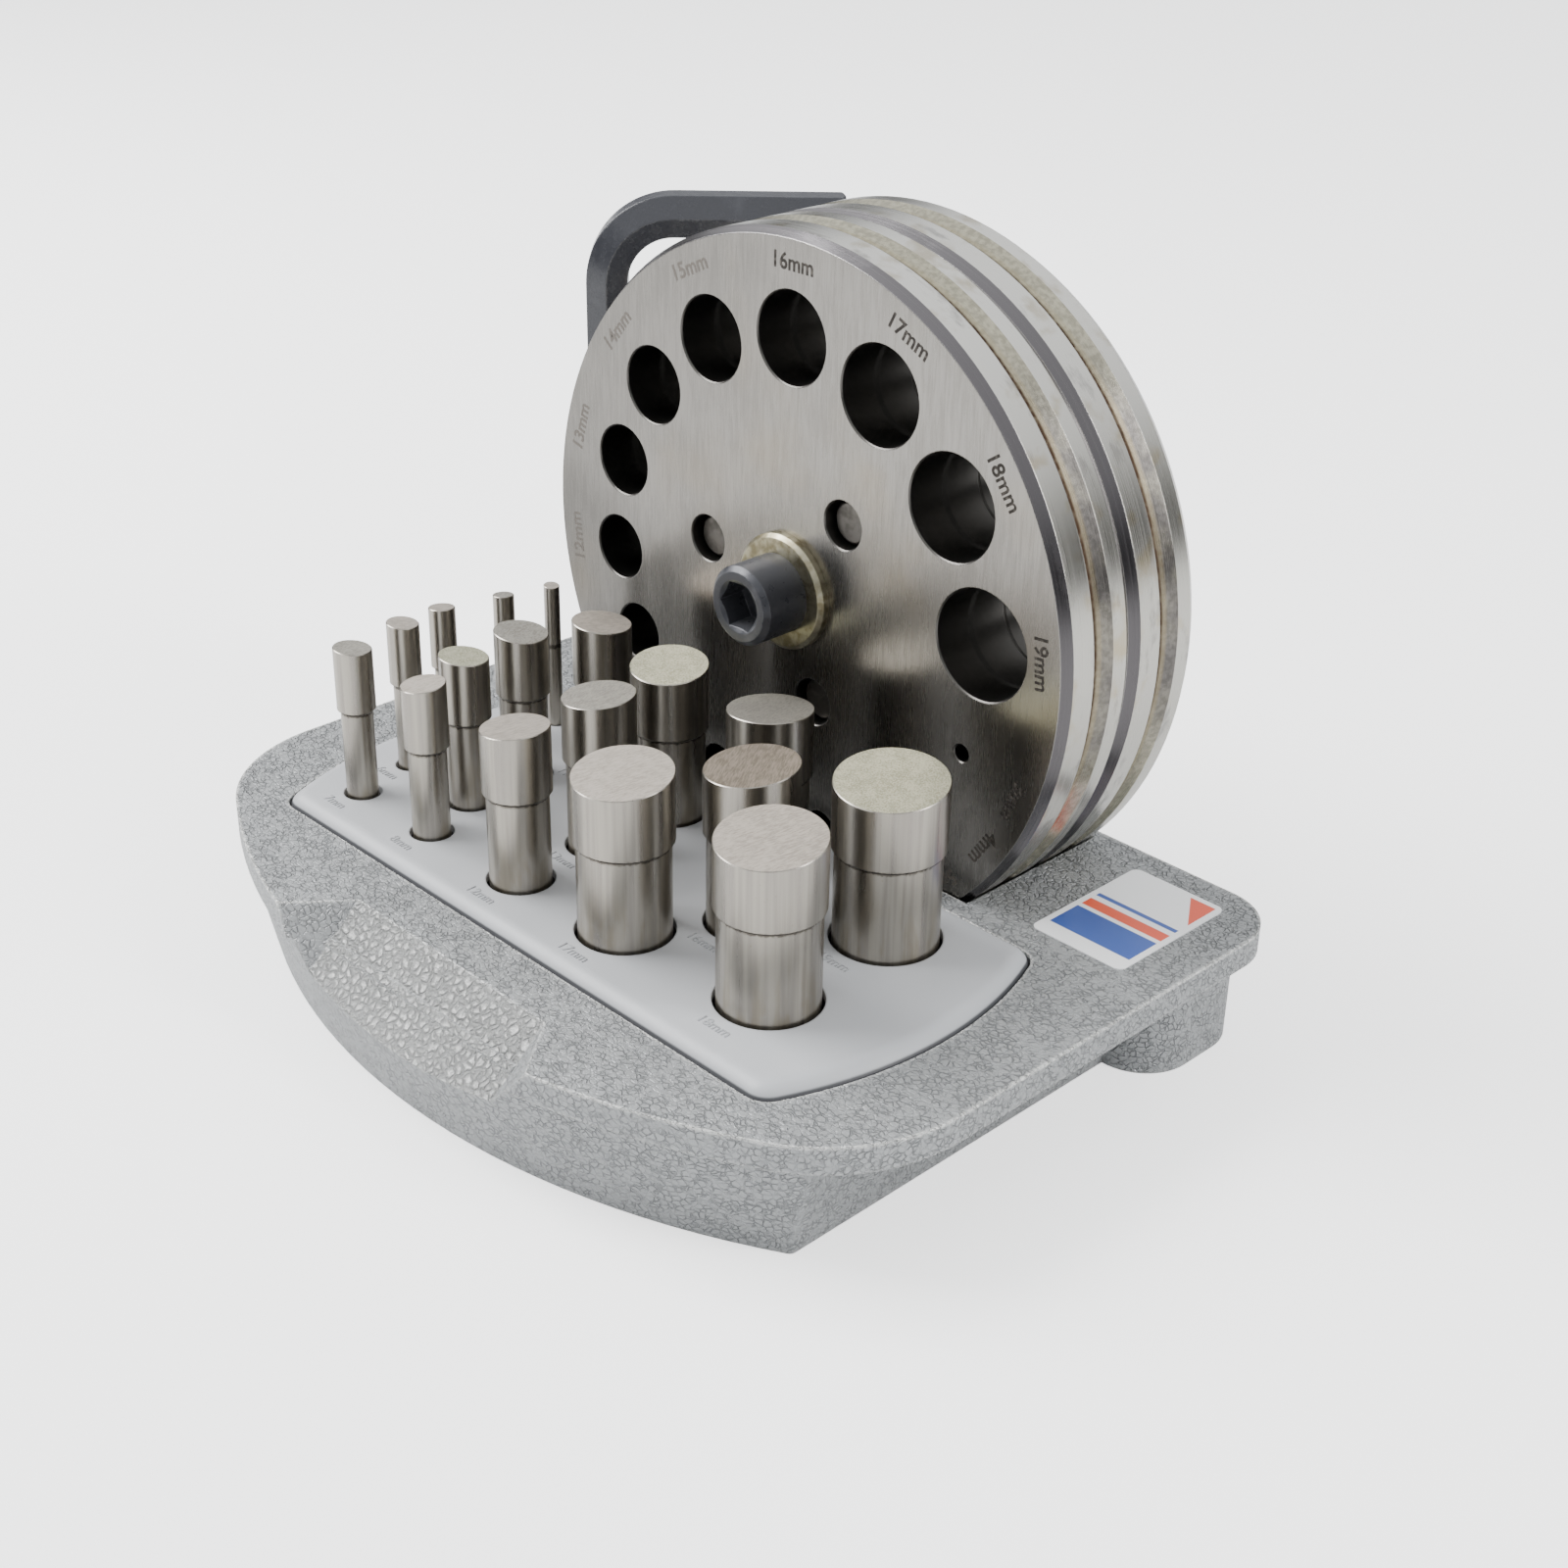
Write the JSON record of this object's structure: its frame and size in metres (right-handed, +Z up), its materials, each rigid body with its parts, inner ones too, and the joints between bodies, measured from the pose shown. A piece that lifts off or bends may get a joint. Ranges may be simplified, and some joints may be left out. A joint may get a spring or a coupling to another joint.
{
  "type": "jewelers disc cutter",
  "caption": "Bench disc cutter: two clamped round die plates on edge in a cast stand, a rack of stepped punches in front and the hex key standing in a foot.",
  "frame": {"origin": "on the bench, at the middle of the outer box", "axes": "+X to the right seen from the front, +Y to the back, +Z up; the die plates' axis lies along Y"},
  "size_m": [0.17, 0.1447, 0.129],
  "materials": {
    "iron": "hammered grey enamel on cast iron",
    "label": "glossy printed label",
    "plastic": "satin light grey",
    "plate_steel": "turned and ground tool steel",
    "pin_steel": "ground",
    "zinc": "yellowish zinc plate",
    "black_steel": "black oxide",
    "punch_steel": "ground, with ground ends"
  },
  "bodies": {
    "stand": {"base_casting": "iron", "label": "label", "punch_rack": "plastic"},
    "rear_die": {"back_plate": "plate_steel", "guide_pins": "pin_steel"},
    "front_die": {"front_plate": "plate_steel"},
    "washer": {"clamp_washer": "zinc"},
    "screw": {"clamp_screw": "black_steel"},
    "key": {"hex_key": "black_steel"},
    "punch_03": {"punch_03": "punch_steel"},
    "punch_04": {"punch_04": "punch_steel"},
    "punch_05": {"punch_05": "punch_steel"},
    "punch_06": {"punch_06": "punch_steel"},
    "punch_07": {"punch_07": "punch_steel"},
    "punch_08": {"punch_08": "punch_steel"},
    "punch_09": {"punch_09": "punch_steel"},
    "punch_10": {"punch_10": "punch_steel"},
    "punch_11": {"punch_11": "punch_steel"},
    "punch_12": {"punch_12": "punch_steel"},
    "punch_13": {"punch_13": "punch_steel"},
    "punch_14": {"punch_14": "punch_steel"},
    "punch_15": {"punch_15": "punch_steel"},
    "punch_16": {"punch_16": "punch_steel"},
    "punch_17": {"punch_17": "punch_steel"},
    "punch_18": {"punch_18": "punch_steel"},
    "punch_19": {"punch_19": "punch_steel"}
  },
  "joints": [
    {"name": "die_lift", "type": "slide", "parent": "stand", "child": "rear_die", "axis": [0, 0, 1], "range_m": [0, 0.12]},
    {"name": "die_open", "type": "slide", "parent": "rear_die", "child": "front_die", "axis": [0, -1, 0], "range_m": [0, 0.0015]},
    {"name": "washer_out", "type": "slide", "parent": "front_die", "child": "washer", "axis": [0, -1, 0], "range_m": [0, 0.0135]},
    {"name": "screw_turn", "type": "hinge", "parent": "washer", "child": "screw", "pos_m": [0, 0.01, 0.0665], "axis": [0, -1, 0], "range_deg": [0, 3240]},
    {"name": "key_lift", "type": "slide", "parent": "stand", "child": "key", "axis": [0, 0, 1], "range_m": [0, 0.12]},
    {"name": "punch_03_lift", "type": "slide", "parent": "stand", "child": "punch_03", "axis": [0, 0, 1], "range_m": [0, 0.12]},
    {"name": "punch_04_lift", "type": "slide", "parent": "stand", "child": "punch_04", "axis": [0, 0, 1], "range_m": [0, 0.12]},
    {"name": "punch_05_lift", "type": "slide", "parent": "stand", "child": "punch_05", "axis": [0, 0, 1], "range_m": [0, 0.12]},
    {"name": "punch_06_lift", "type": "slide", "parent": "stand", "child": "punch_06", "axis": [0, 0, 1], "range_m": [0, 0.12]},
    {"name": "punch_07_lift", "type": "slide", "parent": "stand", "child": "punch_07", "axis": [0, 0, 1], "range_m": [0, 0.12]},
    {"name": "punch_08_lift", "type": "slide", "parent": "stand", "child": "punch_08", "axis": [0, 0, 1], "range_m": [0, 0.12]},
    {"name": "punch_09_lift", "type": "slide", "parent": "stand", "child": "punch_09", "axis": [0, 0, 1], "range_m": [0, 0.12]},
    {"name": "punch_10_lift", "type": "slide", "parent": "stand", "child": "punch_10", "axis": [0, 0, 1], "range_m": [0, 0.12]},
    {"name": "punch_11_lift", "type": "slide", "parent": "stand", "child": "punch_11", "axis": [0, 0, 1], "range_m": [0, 0.12]},
    {"name": "punch_12_lift", "type": "slide", "parent": "stand", "child": "punch_12", "axis": [0, 0, 1], "range_m": [0, 0.12]},
    {"name": "punch_13_lift", "type": "slide", "parent": "stand", "child": "punch_13", "axis": [0, 0, 1], "range_m": [0, 0.12]},
    {"name": "punch_14_lift", "type": "slide", "parent": "stand", "child": "punch_14", "axis": [0, 0, 1], "range_m": [0, 0.12]},
    {"name": "punch_15_lift", "type": "slide", "parent": "stand", "child": "punch_15", "axis": [0, 0, 1], "range_m": [0, 0.12]},
    {"name": "punch_16_lift", "type": "slide", "parent": "stand", "child": "punch_16", "axis": [0, 0, 1], "range_m": [0, 0.12]},
    {"name": "punch_17_lift", "type": "slide", "parent": "stand", "child": "punch_17", "axis": [0, 0, 1], "range_m": [0, 0.12]},
    {"name": "punch_18_lift", "type": "slide", "parent": "stand", "child": "punch_18", "axis": [0, 0, 1], "range_m": [0, 0.12]},
    {"name": "punch_19_lift", "type": "slide", "parent": "stand", "child": "punch_19", "axis": [0, 0, 1], "range_m": [0, 0.12]}
  ],
  "couplings": [
    {"joint": "die_open", "follows": "die_lift", "ratio": 0.0125},
    {"joint": "key_lift", "follows": "die_lift", "ratio": 1},
    {"joint": "screw_turn", "follows": "washer_out", "rad_per_m": 4188.8}
  ]
}
